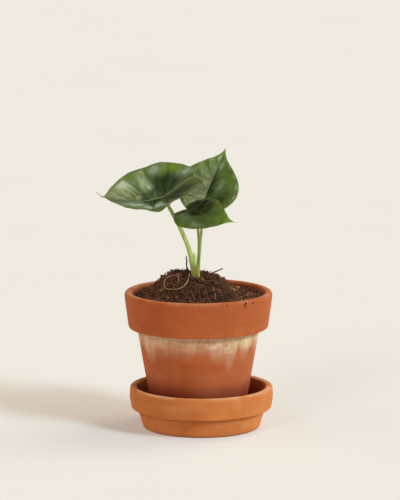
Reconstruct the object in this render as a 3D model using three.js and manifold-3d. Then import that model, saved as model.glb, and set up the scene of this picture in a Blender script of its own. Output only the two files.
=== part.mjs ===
// Potted alocasia reversa: a terracotta pot on its saucer, heaped soil, and three leaves on their stalks.
// Millimetres, +Z up, front towards -Y, origin at the centre of the saucer's underside.
import * as THREE from 'three';
import { mergeVertices } from 'three/addons/utils/BufferGeometryUtils.js';
import Module from 'manifold-3d';

const wasm = await Module();
wasm.setup();

// Driving dimensions
const GAP = 0.3;
const FACETS = 48;
const FILLET_STEPS = 2;

const SAUCER = {
  heelRadius: 51.5,
  waistRadius: 57,
  bandRadius: 63.8,
  bandFoot: 17,
  height: 37,
  wall: 5.8,
  floor: 7,
};

const POT = {
  x: -2.6,
  height: 114.6,
  baseRadius: 39.9,
  neckRadius: 54.4,
  bandFoot: 82.3,
  bandFootRadius: 61.8,
  bandRadius: 65.5,
  wall: 6,
  drainRadius: 7,
  turn: 5.6,
};
POT.z = SAUCER.floor + GAP;

const SOIL = {
  level: 116.2,
  frontRise: 2,
  sideGap: 0.5,
  rings: 15,
  hill: { x: -9, y: 4, halfLength: 36, halfDepth: 36, height: 19.5, steepness: 4 },
  humps: [
    { x: -20, y: 4, size: 9, height: 1.6 },
    { x: 4, y: 5, size: 7, height: 2.4 },
    { x: -5, y: -7, size: 8, height: -3 },
    { x: -30, y: -20, size: 12, height: 1.5 },
    { x: 30, y: -14, size: 13, height: 2.2 },
  ],
  clod: 7,
  clodHeight: 1.5,
  crumb: 3.4,
  crumbHeight: 0.9,
};

const CHIPS = {
  count: 14,
  length: [4, 8],
  width: [2.4, 4.2],
  thickness: [1.6, 2.6],
  lift: 0.1,
  wear: 0.28,
  lean: 20,
  reach: [0.25, 0.85],
  largest: { x: 32, y: 17, length: 10, width: 5.5, thickness: 3, lean: 60, turn: 100 },
};

// Outline of one half of a blade, as shares of its length or lobe length, and of its half width.
const TIP = [[1, 0], [0.93, 0.045], [0.84, 0.17], [0.64, 0.53], [0.38, 0.86], [0.1, 1]];
const LOBE = [[-0.3, 0.97], [-0.68, 0.76], [-0.97, 0.44]];

const BLADE = {
  thickness: 0.7,
  ribDepth: 0.8,
  ribWidth: 1.8,
  rays: 22,
  rings: 6,
  kinkSpan: 0.3,
  bossRadius: 1.7,
  bossDepth: 2.4,
};

// Angles in degrees, each pair for the left and the right half seen from the stalk to the tip.
const LEAVES = {
  left: {
    length: 66, lobe: 38, halfWidth: 37.4, widths: [1.01, 1.03], joined: 0.83, tipWidth: 0.04,
    arch: 48, lobeArch: -9, kink: 29, fold: [12, -12], lobeFold: [-5, -24], curl: [51, 24],
    yaw: 199, pitch: -15, roll: -35, at: [-33.1, -2, 206.4],
    wave: { at: 0.34, span: 0.19, swell: 0.06, drop: -8.3 },
    stalk: {
      radii: [1.8, 2.3, 2.0, 1.7, 1.5],
      way: [[-6, 0, 122], [-6.6, 0, 135.2], [-10.2, 0.6, 156.7], [-17, 1.4, 174.4], [-25.6, 2.4, 191.2]],
    },
  },
  back: {
    length: 54, lobe: 31, halfWidth: 27.5, widths: [0.99, 1.02], joined: 0.68, tipWidth: 0,
    arch: 21, lobeArch: 3, kink: 3, fold: [-3, 29], lobeFold: [1, 0], curl: [-5, 6],
    yaw: 73, pitch: 30, roll: 34, at: [4.2, 11, 206.6],
    wave: { at: -0.2, span: 0.3, swell: 0.01, drop: 0.5 },
    stalk: {
      radii: [1.5, 1.6, 1.2, 1.2, 1.3],
      way: [[-3.4, 2.8, 122], [-3.2, 2.8, 135.2], [-2.1, 4, 151.2], [-0.6, 6, 166.3], [1.4, 10, 187.3]],
    },
  },
  front: {
    length: 41.7, lobe: 22.5, halfWidth: 19.5, widths: [0.99, 1.01], joined: 0.68, tipWidth: -0.04,
    arch: -31, lobeArch: -7, kink: -9, fold: [-38, 31], lobeFold: [-2, 7], curl: [-2, 1],
    yaw: -47, pitch: -4, roll: 70.5, at: [-5.1, -34, 198.4],
    wave: { at: 0.3, span: 0.25, swell: 0.01, drop: -0.4 },
    stalk: {
      radii: [1.5, 1.7, 1.3, 1.2, 1.3],
      way: [[-3.4, -2.4, 122], [-3.2, -2.8, 135.2], [-2.3, -8, 151], [-2, -16, 168.6], [-3, -25.4, 184.3]],
    },
  },
};

const TIP_THREAD = { radius: 0.4, length: 7, rooted: 0.97, sides: 6, steps: 4, direction: [-0.8, 0, 0.6] };

// Facets round each stem and along it.
const STALK_MESH = { sides: 8, steps: 24, straight: 3 };
const ROOT_MESH = { sides: 6, steps: 10, paleSteps: 28 };

const ROOTS = {
  root_upright: {
    radii: [1.9, 1.1, 0.7, 0.6, 0.5],
    way: [[-10, 0.4, 126], [-10.6, 0.2, 138.2], [-12.8, 0, 143.2], [-12.9, 0, 149.2], [-13.4, 0, 153.4]],
  },
  root_twig: {
    radii: [1.2, 1.1, 0.8, 0.5],
    way: [[-23.4, 2, 128], [-23.8, 2, 136.2], [-24.4, 2, 138.2], [-22.2, 1.4, 141.6]],
  },
  root_right: {
    radii: [0.7, 0.7, 0.6, 0.5],
    way: [[5, 4, 128], [9.4, 3.6, 136.4], [14.6, 2.6, 139.6], [19, 2, 141.6]],
  },
};

// The pale root lies on the soil in front: x and y of its way, and how far it stands over the soil.
const PALE_ROOT = {
  radius: 0.5,
  lift: 0.9,
  buried: 5,
  way: [[-10.5, -4], [-10.9, -16], [-13.2, -25], [-16.5, -28.5], [-21.3, -29.5], [-28.4, -27],
    [-32.3, -23], [-32.5, -13], [-28.4, -7.5], [-22, -11], [-20, -16]],
};

const COLOURS = {
  terracotta: 0xb4653a,
  saucer: 0xc07038,
  soil: 0x49301f,
  leaf: 0x4f6636,
  stalk: 0x9caa55,
  deadRoot: 0x3a2a20,
  paleRoot: 0xb79a6a,
};

// Helpers
const TURN = 2 * Math.PI;
const radians = THREE.MathUtils.degToRad;
const vector = (p) => new THREE.Vector3(...p);

let seed = 7;
function random() {
  seed = (seed * 16807) % 2147483647;
  return seed / 2147483647;
}
const between = ([low, high]) => low + (high - low) * random();

// Merges shared vertices, drops collapsed triangles and turns the faces outwards.
function closed(geometry) {
  const bare = geometry.clone();
  bare.deleteAttribute('normal');
  bare.deleteAttribute('uv');
  const merged = mergeVertices(bare, 1e-4);
  const from = merged.index.array;
  const corner = (i) => new THREE.Vector3().fromBufferAttribute(merged.attributes.position, i);
  const index = [];
  let volume = 0;
  for (let i = 0; i < from.length; i += 3) {
    const [a, b, c] = from.slice(i, i + 3);
    if (a === b || b === c || c === a) continue;
    index.push(a, b, c);
    volume += corner(a).dot(corner(b).cross(corner(c)));
  }
  if (volume < 0) index.reverse();
  merged.setIndex(index);
  return merged;
}

function toManifold(geometry) {
  const solid = closed(geometry);
  return new wasm.Manifold(new wasm.Mesh({
    numProp: 3,
    vertProperties: new Float32Array(solid.attributes.position.array),
    triVerts: new Uint32Array(solid.index.array),
  }));
}

function toGeometry(manifold) {
  const mesh = manifold.getMesh();
  const geometry = new THREE.BufferGeometry();
  geometry.setAttribute('position', new THREE.BufferAttribute(mesh.vertProperties, 3));
  geometry.setIndex(new THREE.BufferAttribute(mesh.triVerts, 1));
  return geometry;
}

function piece(name, geometry, color, roughness = 0.8) {
  const shaded = closed(geometry);
  shaded.computeVertexNormals();
  const material = new THREE.MeshStandardMaterial({ color, roughness, metalness: 0 });
  const mesh = new THREE.Mesh(shaded, material);
  mesh.name = name;
  return mesh;
}

// A profile from corners [radius, height, fillet]; a corner with a fillet becomes a short curve.
function profile(corners) {
  const path = new THREE.Path();
  const at = (k) => new THREE.Vector2(corners[k][0], corners[k][1]);
  path.moveTo(...at(0));
  for (let k = 1; k < corners.length; k++) {
    const fillet = corners[k][2] ?? 0;
    if (fillet === 0 || k === corners.length - 1) {
      path.lineTo(...at(k));
      continue;
    }
    const here = at(k);
    const into = here.clone().add(at(k - 1).sub(here).setLength(fillet));
    const out = here.clone().add(at(k + 1).sub(here).setLength(fillet));
    path.lineTo(...into);
    path.quadraticCurveTo(...here, ...out);
  }
  return path.getPoints(FILLET_STEPS);
}

function turned(points) {
  return new THREE.LatheGeometry(points, FACETS).rotateX(Math.PI / 2);
}

// A closed grid of rings: each ring is a list of points, and both ends come together in a pole.
function ringSolid(rings, startPole, endPole) {
  const sides = rings[0].length;
  const position = [startPole, ...rings.flat(), endPole].flatMap((p) => [p.x, p.y, p.z]);
  const last = rings.length * sides + 1;
  const at = (ring, side) => 1 + ring * sides + (side % sides);
  const index = [];
  for (let side = 0; side < sides; side++) {
    index.push(0, at(0, side + 1), at(0, side));
    index.push(last, at(rings.length - 1, side), at(rings.length - 1, side + 1));
    for (let ring = 0; ring + 1 < rings.length; ring++) {
      index.push(at(ring, side), at(ring, side + 1), at(ring + 1, side));
      index.push(at(ring, side + 1), at(ring + 1, side + 1), at(ring + 1, side));
    }
  }
  const geometry = new THREE.BufferGeometry();
  geometry.setAttribute('position', new THREE.Float32BufferAttribute(position, 3));
  geometry.setIndex(index);
  return geometry;
}

// A round stem along a smooth way, with radii spread evenly from its start to its end.
function stem(way, radii, sides, steps, grow = 0) {
  const curve = new THREE.CatmullRomCurve3(way, false, 'centripetal');
  const frames = curve.computeFrenetFrames(steps);
  const widths = new THREE.SplineCurve(radii.map((radius, k) => new THREE.Vector2(k, radius)));
  const rings = [];
  for (let i = 0; i <= steps; i++) {
    const centre = curve.getPointAt(i / steps);
    const radius = widths.getPoint(i / steps).y + grow;
    const ring = [];
    for (let side = 0; side < sides; side++) {
      const angle = TURN * side / sides;
      ring.push(centre.clone()
        .addScaledVector(frames.normals[i], radius * Math.cos(angle))
        .addScaledVector(frames.binormals[i], radius * Math.sin(angle)));
    }
    rings.push(ring);
  }
  return ringSolid(rings, curve.getPointAt(0), curve.getPointAt(1));
}

// Smooth noise between -1 and 1 on a square lattice.
function lattice(i, j) {
  const s = Math.sin(i * 127.1 + j * 311.7) * 43758.5453;
  return 2 * (s - Math.floor(s)) - 1;
}
function noise(x, y) {
  const i = Math.floor(x);
  const j = Math.floor(y);
  const fx = THREE.MathUtils.smoothstep(x - i, 0, 1);
  const fy = THREE.MathUtils.smoothstep(y - j, 0, 1);
  const near = THREE.MathUtils.lerp(lattice(i, j), lattice(i + 1, j), fx);
  const far = THREE.MathUtils.lerp(lattice(i, j + 1), lattice(i + 1, j + 1), fx);
  return THREE.MathUtils.lerp(near, far, fy);
}

// Saucer: a flat heel, a flared waist, a step out to the lip band and a round lip.
function saucerGeometry() {
  const { heelRadius, waistRadius, bandRadius, bandFoot, height, wall, floor } = SAUCER;
  return turned(profile([
    [0, 0],
    [heelRadius, 0, 1.6],
    [waistRadius, bandFoot, 0.8],
    [bandRadius - 1.8, bandFoot + 0.6, 1.2],
    [bandRadius, bandFoot + 10, 4],
    [bandRadius - 0.6, height, 2.4],
    [bandRadius - 0.6 - wall, height, 2.2],
    [waistRadius - wall + 1.6, bandFoot + 3, 5],
    [heelRadius - 3.5, floor, 5],
    [0, floor],
  ]));
}

// Inside of the pot from floor to lip, which the soil follows.
function potInside(inset, lift) {
  const { height, baseRadius, neckRadius, bandFoot, bandRadius, wall } = POT;
  return [
    [baseRadius - wall + 2 - inset, wall + 0.5 + lift, 4],
    [neckRadius - wall + 0.2 - inset, bandFoot - 3, 2],
    [bandRadius - wall - 3.3 - inset, bandFoot + 5, 1],
    [bandRadius - wall - 0.4 - inset, height],
  ];
}

// Pot: tapered wall, wide rim band with a round lip, flat foot and a drain hole.
function potGeometry() {
  const { height, baseRadius, neckRadius, bandFoot, bandFootRadius, bandRadius, wall, drainRadius } = POT;
  const inside = potInside(0, 0);
  const lip = inside.pop();
  const points = profile([
    [drainRadius, 0],
    [baseRadius, 0, 1.6],
    [neckRadius, bandFoot, 0.6],
    [bandFootRadius, bandFoot, 2.4],
    [bandRadius, height - 4, 1],
    [bandRadius - 0.4, height, 2.8],
    [lip[0], lip[1], 2.6],
    ...inside.reverse(),
    [drainRadius, wall + 0.5],
    [drainRadius, 0],
  ]);
  return turned(points).rotateZ(radians(POT.turn)).translate(POT.x, 0, POT.z);
}

// Height of the soil's surface: a bed a little under the lip, with a steep hill round the stalks.
function soilHeight(x, y) {
  const { level, frontRise, hill, humps, clod, clodHeight, crumb, crumbHeight } = SOIL;
  const reach = Math.hypot((x - hill.x) / hill.halfLength, (y - hill.y) / hill.halfDepth);
  let z = level - frontRise * y / POT.bandRadius;
  z += hill.height * Math.exp(-(reach ** hill.steepness));
  for (const hump of humps) {
    z += hump.height * Math.exp(-(((x - hump.x) ** 2 + (y - hump.y) ** 2) / hump.size ** 2));
  }
  z += clodHeight * noise(x / clod, y / clod);
  z += crumbHeight * noise(x / crumb + 31, y / crumb + 17);
  return z;
}

// A broken bark chip: a box with its corners pulled about, half sunk in the soil.
function chip(x, y, size, lean, turn) {
  const box = new THREE.BoxGeometry(...size);
  const solid = closed(box);
  const position = solid.attributes.position;
  for (let i = 0; i < position.count; i++) {
    const pull = [0, 1, 2].map(() => 1 - CHIPS.wear * random());
    position.setXYZ(i, position.getX(i) * pull[0], position.getY(i) * pull[1], position.getZ(i) * pull[2]);
  }
  return solid
    .rotateY(radians(lean))
    .rotateZ(radians(turn))
    .translate(x, y, soilHeight(x, y) + CHIPS.lift * size[2]);
}

// Every stalk and root that stands in the soil: its way, radii, sides, steps and colour.
function stems() {
  const { sides, steps, paleSteps } = ROOT_MESH;
  const stalks = Object.entries(LEAVES).map(([name, leaf]) => [
    `petiole_${name}`, leafStalkWay(leaf), leaf.stalk.radii, STALK_MESH.sides, STALK_MESH.steps, COLOURS.stalk,
  ]);
  const roots = Object.entries(ROOTS).map(([name, root]) =>
    [name, root.way.map(vector), root.radii, sides, steps, COLOURS.deadRoot]);
  const pale = [PALE_ROOT.radius, PALE_ROOT.radius];
  return [...stalks, ...roots, ['root_pale', paleRootWay(), pale, sides, paleSteps, COLOURS.paleRoot]];
}

// Soil: fills the pot to its heaped surface, with chips fused in and a plain hole for each stem.
function soilGeometry() {
  const side = profile([[0, POT.wall + 0.5 + GAP], ...potInside(SOIL.sideGap, GAP)]);
  const edge = SOIL.level - POT.z - SOIL.frontRise - SOIL.clodHeight - SOIL.crumbHeight;
  const wall = side.filter((p) => p.y < edge);
  const upper = side[side.length - 1];
  const lower = side[side.length - 2];
  const radiusAt = (z) => THREE.MathUtils.mapLinear(z, lower.y, upper.y, lower.x, upper.x);
  const rim = radiusAt(edge);
  const surface = 2 * POT.height;
  const top = [];
  for (let ring = SOIL.rings; ring >= 0; ring--) {
    top.push(new THREE.Vector2(rim * ring / SOIL.rings, surface));
  }
  const body = turned([...wall, ...top]).translate(POT.x, 0, POT.z);
  const position = body.attributes.position;
  for (let i = 0; i < position.count; i++) {
    if (position.getZ(i) < surface) continue;
    position.setZ(i, soilHeight(position.getX(i), position.getY(i)));
  }
  let solid = toManifold(body);
  const { largest } = CHIPS;
  solid = solid.add(toManifold(chip(largest.x, largest.y,
    [largest.length, largest.width, largest.thickness], largest.lean, largest.turn)));
  for (let k = 0; k < CHIPS.count; k++) {
    const angle = TURN * random();
    const reach = between(CHIPS.reach) * rim;
    const size = [between(CHIPS.length), between(CHIPS.width), between(CHIPS.thickness)];
    const place = [POT.x + reach * Math.cos(angle), reach * Math.sin(angle)];
    const lean = between([-CHIPS.lean, CHIPS.lean]);
    solid = solid.add(toManifold(chip(...place, size, lean, 360 * random())));
  }
  for (const [, way, radii, sides, steps] of stems()) {
    solid = solid.subtract(toManifold(stem(way, radii, sides, steps, GAP)));
  }
  return toGeometry(largestBody(solid));
}

// Cutting can free a crumb, so only the largest body is kept.
function largestBody(solid) {
  return solid.decompose().sort((a, b) => b.volume() - a.volume())[0];
}

// Half outline of a blade in its own plane: u from the stalk to the tip, v across.
function halfOutline(leaf, half) {
  const widen = (u) => leaf.tipWidth * (u > 0.9 ? 0.3 : u > 0.7 ? 1 : u > 0.5 ? 0.6 : 0);
  const turnIn = [-(leaf.joined + 0.97) / 2 - 0.1 * (1 - leaf.joined), 0.17];
  const shares = [...TIP.map(([u, v]) => [u, v && v + widen(u)]), ...LOBE, turnIn, [-leaf.joined, 0]];
  const curve = new THREE.SplineCurve(shares.map(([u, v]) => new THREE.Vector2(u, v)));
  const { wave } = leaf;
  return Array.from({ length: BLADE.rays + 1 }, (_, k) => {
    const share = curve.getPoint(k / BLADE.rays);
    const swell = half === 0 ? 1 + wave.swell * Math.exp(-(((share.x - wave.at) / wave.span) ** 2)) : 1;
    const u = share.x * (share.x > 0 ? leaf.length : leaf.lobe);
    return new THREE.Vector2(u, Math.max(0, share.y) * leaf.halfWidth * leaf.widths[half] * swell);
  });
}

// Point of a blade's middle surface: the rib arches, each half folds up from it and curls outwards.
function bladePoint(leaf, u, v, half) {
  const bend = (angle, length) => radians(Math.abs(angle) < 0.01 ? 0.01 : angle) / length;
  const kink = radians(leaf.kink);
  const ahead = Math.max(u, 0);
  const behind = Math.max(-u, 0);
  const archA = bend(leaf.arch, leaf.length);
  const archB = bend(leaf.lobeArch, leaf.lobe);
  const angleA = archA * ahead;
  const angleB = kink + archB * behind;
  const alongX = Math.sin(angleA) / archA - (Math.sin(angleB) - Math.sin(kink)) / archB;
  const alongZ = (1 - Math.cos(angleA)) / archA + (Math.cos(kink) - Math.cos(angleB)) / archB;
  const blend = 0.5 + 0.5 * Math.tanh(-u / (BLADE.kinkSpan * leaf.halfWidth));
  const tilt = (u >= 0 ? angleA : kink - angleB) - kink * blend;
  const share = behind / leaf.lobe;
  const fold = radians(leaf.fold[half] + leaf.lobeFold[half] * Math.min(share, 1));
  const curl = bend(leaf.curl[half], leaf.halfWidth);
  const across = (Math.sin(fold + curl * v) - Math.sin(fold)) / curl;
  let rise = (Math.cos(fold) - Math.cos(fold + curl * v)) / curl;
  if (half === 0) {
    const along = u >= 0 ? u / leaf.length : u / leaf.lobe;
    const { at, span, drop } = leaf.wave;
    rise += drop * (v / leaf.halfWidth) ** 2 * Math.exp(-(((along - at) / span) ** 2));
  }
  const point = new THREE.Vector3(
    alongX - rise * Math.sin(tilt),
    half === 0 ? across : -across,
    alongZ + rise * Math.cos(tilt),
  );
  return point
    .applyAxisAngle(new THREE.Vector3(1, 0, 0), radians(leaf.roll))
    .applyAxisAngle(new THREE.Vector3(0, -1, 0), radians(leaf.pitch))
    .applyAxisAngle(new THREE.Vector3(0, 0, 1), radians(leaf.yaw))
    .add(vector(leaf.at));
}

// Rings of the middle surface round the stalk: along the left half's margin and back by the right half's.
function bladeRings(leaf) {
  const left = halfOutline(leaf, 0).map((p) => [p.x, p.y, 0]);
  const right = halfOutline(leaf, 1).map((p) => [p.x, p.y, 1]);
  const margin = [...left, ...right.slice(1, -1).reverse()];
  const rings = [];
  for (let ring = 1; ring <= BLADE.rings; ring++) {
    const share = ring / BLADE.rings;
    rings.push(margin.map(([u, v, half]) => ({
      point: bladePoint(leaf, u * share, v * share, half),
      rib: BLADE.ribDepth * Math.exp(-((v * share / BLADE.ribWidth) ** 2)) * (1 - share * share),
    })));
  }
  return rings;
}

function upwards(leaf) {
  const step = 1.5;
  const ahead = bladePoint(leaf, step, 0, 0).sub(bladePoint(leaf, -step, 0, 0));
  const across = bladePoint(leaf, 0, step, 0).sub(bladePoint(leaf, 0, step, 1));
  return ahead.cross(across).normalize();
}

// Unit normals of the middle surface at the points of its rings, and at the stalk.
function ringNormals(leaf, rings) {
  const count = rings[0].length;
  const points = rings.map((ring) => ring.map((knot) => knot.point));
  const middle = ringSolid(points, vector(leaf.at), vector(leaf.at));
  middle.setIndex(Array.from(middle.index.array).filter((_, k, all) => {
    const triangle = all.slice(k - (k % 3), k - (k % 3) + 3);
    return !triangle.includes(rings.length * count + 1);
  }));
  middle.computeVertexNormals();
  const normals = middle.attributes.normal;
  const up = upwards(leaf);
  const sign = new THREE.Vector3().fromBufferAttribute(normals, 0).dot(up) < 0 ? -1 : 1;
  return rings.map((ring, i) => ring.map((_, side) =>
    new THREE.Vector3().fromBufferAttribute(normals, 1 + i * count + side).multiplyScalar(sign)));
}

// Blade: the middle surface thickened both ways, with a rib under it and a boss for the stalk.
function bladeGeometry(leaf) {
  const rings = bladeRings(leaf);
  const normals = ringNormals(leaf, rings);
  const half = BLADE.thickness / 2;
  const face = (side) => rings.map((ring, i) => ring.map(({ point, rib }, k) =>
    point.clone().addScaledVector(normals[i][k], side > 0 ? half : -half - rib)));
  const up = upwards(leaf);
  const centre = vector(leaf.at);
  const topPole = centre.clone().addScaledVector(up, half);
  const bottomPole = centre.clone().addScaledVector(up, -half - BLADE.ribDepth);
  const skin = ringSolid([...face(1), ...face(-1).reverse()], topPole, bottomPole);
  const boss = stem(
    [centre.clone().addScaledVector(up, -0.1), centre.clone().addScaledVector(up, -BLADE.bossDepth)],
    [BLADE.bossRadius, leaf.stalk.radii.at(-1)], STALK_MESH.sides, 2);
  return toManifold(skin).add(toManifold(boss));
}

// The dry thread that the left blade's tip runs out into.
function tipThread(leaf) {
  const { radius, length, rooted, sides, steps, direction } = TIP_THREAD;
  const tip = bladePoint(leaf, leaf.length, 0, 0);
  const root = bladePoint(leaf, leaf.length * rooted, 0, 0);
  const end = tip.clone().addScaledVector(vector(direction), length);
  return toManifold(stem([root, tip, end], [radius, radius], sides, steps));
}

// The stalk's way: its own points, then straight up to the boss under the blade.
function leafStalkWay(leaf) {
  const down = upwards(leaf).negate();
  const end = vector(leaf.at).addScaledVector(down, BLADE.bossDepth + GAP);
  const approach = end.clone().addScaledVector(down, STALK_MESH.straight);
  return [...leaf.stalk.way.map(vector), approach, end];
}

function paleRootWay() {
  const { way, lift, buried } = PALE_ROOT;
  const lying = way.map(([x, y]) => new THREE.Vector3(x, y, soilHeight(x, y) + lift));
  const start = lying[0].clone().setZ(lying[0].z - buried);
  const end = lying.at(-1).clone().setZ(lying.at(-1).z - buried);
  return [start, ...lying, end];
}

// Assembly
const group = new THREE.Group();
group.add(piece('saucer', saucerGeometry(), COLOURS.saucer));
group.add(piece('pot', potGeometry(), COLOURS.terracotta));
group.add(piece('soil', soilGeometry(), COLOURS.soil, 1));

for (const [name, leaf] of Object.entries(LEAVES)) {
  let blade = bladeGeometry(leaf);
  if (name === 'left') blade = blade.add(tipThread(leaf));
  group.add(piece(`blade_${name}`, toGeometry(blade), COLOURS.leaf, 0.4));
}

for (const [name, way, radii, sides, steps, color] of stems()) {
  group.add(piece(name, stem(way, radii, sides, steps), color, 0.6));
}

export default group;
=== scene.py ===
# Potted alocasia reversa: terracotta pot on its saucer, heaped soil, dry roots, and three leaves on stalks.
# Sizes and places are in millimetres, and MM turns them into metres.
import math

import bpy
import numpy as np
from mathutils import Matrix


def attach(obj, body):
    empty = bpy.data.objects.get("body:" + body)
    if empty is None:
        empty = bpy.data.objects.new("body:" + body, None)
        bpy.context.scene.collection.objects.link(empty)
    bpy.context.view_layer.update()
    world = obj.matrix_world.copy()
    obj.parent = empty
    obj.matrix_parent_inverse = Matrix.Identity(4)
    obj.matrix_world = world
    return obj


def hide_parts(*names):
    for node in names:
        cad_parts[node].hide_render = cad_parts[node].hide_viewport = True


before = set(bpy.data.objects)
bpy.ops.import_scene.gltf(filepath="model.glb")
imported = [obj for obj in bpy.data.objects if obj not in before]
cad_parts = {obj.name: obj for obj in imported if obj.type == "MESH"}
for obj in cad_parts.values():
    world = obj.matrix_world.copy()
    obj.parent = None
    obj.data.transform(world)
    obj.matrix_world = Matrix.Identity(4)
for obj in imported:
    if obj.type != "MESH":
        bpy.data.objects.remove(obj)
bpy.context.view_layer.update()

MM = 0.001
TURN = 2 * math.pi
rng = np.random.default_rng(11)

# View of the photograph: it looks down a little, from far away, at a frame 441.5 mm high.
CAMERA = {"elevation": 9.6, "distance": 3000.0, "frame_height": 441.5, "target": (-1.15, 0.0, 158.55)}
# The sensor's longer side, then in metres how far the camera sees and how far the floor reaches.
SENSOR = 36.0
CLIP_END = 200.0
FLOOR_REACH = 30.0
FLOOR_TONES = ((0.55, 0.502, 0.44, 1), (0.56, 0.512, 0.45, 1))

# Dim light from all round, its tone, and soft panels of more light: azimuth, elevation, the angles where
# each starts and ends to fade, and its strength.
STUDIO_DIM = 0.13
STUDIO_TONE = (1.0, 0.91, 0.81, 1)
STUDIO_PANELS = [
    (38, 60, 6, 17, 4.6), (-12, 58, 5, 18, 1.3), (0, 22, 25, 66, 0.8), (90, -10, 20, 62, 0.5),
    (180, 8, 20, 62, 0.85),
]
# Broad lamps: azimuth, elevation, angle across, strength and tone.
LAMPS = {
    "main_light": (-37, 33, 16, 3.1, (0.56, 0.80, 1.0)),
    "second_light": (-120, 30, 20, 0.7, (0.9, 0.95, 1.0)),
}
# Brightness of the floor that no shadow takes away, as on a backdrop that is lit from behind.
FLOOR_GLOW = 0.28
FLOOR_GLOW_TONE = (0.88, 0.79, 0.69, 1)

SAUCER = {
    "heel_radius": 51.5, "waist_radius": 57.0, "band_radius": 63.8, "band_foot": 17.0,
    "height": 37.0, "wall": 5.8, "floor": 7.0,
}
POT = {
    "x": -2.6, "z": 7.3, "height": 114.6, "base_radius": 39.9, "neck_radius": 54.4, "band_foot": 82.3,
    "band_foot_radius": 61.8, "band_radius": 65.5, "wall": 6.0, "drain_radius": 7.0,
}
# Facets of the clay: round it, round a fillet, and the longest step along its profile.
CLAY_SIDES = 224
FILLET_STEPS = 7
CLAY_STEP = 1.1
# Bloom runs down from under the rim band: angle, half width in degrees, and how far it reaches down.
BLOOM_RUNS = [
    (-145, 11, 22), (-100, 14, 15), (-70, 13, 20), (-57, 8, 25), (-38, 9, 18), (-8, 14, 21),
    (28, 14, 13), (62, 12, 23), (97, 14, 15), (133, 11, 22), (172, 12, 14),
]

SOIL = {
    "level": 116.2, "front_rise": 2.0,
    "hill": {"x": -9.0, "y": 4.0, "reach": 36.0, "height": 19.5, "steepness": 4},
    "humps": [(-20, 4, 9, 1.6), (4, 5, 7, 2.4), (-5, -7, 8, -3.0), (-30, -20, 12, 1.5), (30, -14, 13, 2.2)],
    "clod": 7.0, "clod_height": 1.5, "crumb": 3.4, "crumb_height": 0.9,
    "rings": 110, "sides": 300, "grit": 1.3, "grit_height": 0.45,
}
EARTH_TONES = [(28, 14, 8), (62, 34, 20), (96, 58, 36), (140, 94, 60)]
BARK_TONES = [(40, 20, 12), (92, 52, 32), (142, 88, 56), (196, 132, 84)]
# Loose earth: how many, rings and sides of each, smallest and largest radius.
CRUMBS = {"soil_crumbs": (7500, 2, 5, 0.35, 1.1), "soil_clods": (330, 4, 7, 0.9, 2.3)}
CHIPS = {"count": 170, "rings": 3, "sides": 7, "sizes": [(1.5, 4.2), (1.0, 2.4), (0.4, 1.0)], "lift": 0.5}
# The pale chip of bark, with light crumbs round it.
PALE_CHIP = {"at": (32.0, 17.0), "size": (3.9, 2.4, 1.2), "lift": 1.2, "lean": -60, "turn": 100, "tone": 0.8}
FIBRES = {
    "count": 3000, "sides": 3, "steps": 6, "length": (2.5, 9), "radius": (0.13, 0.26), "bend": 1.6,
    "lift": 0.7, "rise": 0.9, "high_rise": 3.2, "high_share": 0.2,
}
# Specks of earth on the rim band: angle, height over the pot's foot, radius.
RIM_DIRT = [
    (-51, 112.6, 1.1), (-52.2, 111.2, 0.9), (-51, 109.8, 0.7), (-50.6, 108.4, 0.6), (-43.3, 111.8, 1.0),
    (-67.4, 112.4, 0.8), (-120, 112, 0.5), (20, 108, 0.7), (75, 110, 0.8), (140, 107, 0.6), (-165, 110, 0.5),
]

# Outline of one half of a blade: shares of its length before the stalk or its lobe behind it, and across.
TIP = [(1, 0), (0.93, 0.045), (0.84, 0.17), (0.64, 0.53), (0.38, 0.86), (0.1, 1)]
LOBE = [(-0.3, 0.97), (-0.68, 0.76), (-0.97, 0.44)]
BLADE = {
    "thickness": 0.7, "edge_thickness": 0.3, "rib_depth": 0.8, "rib_width": 1.8, "rays": 170, "rings": 84,
    "kink_span": 0.3, "boss_depth": 2.4, "bulge": 0.95, "bulge_reach": 5.0,
}

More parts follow.
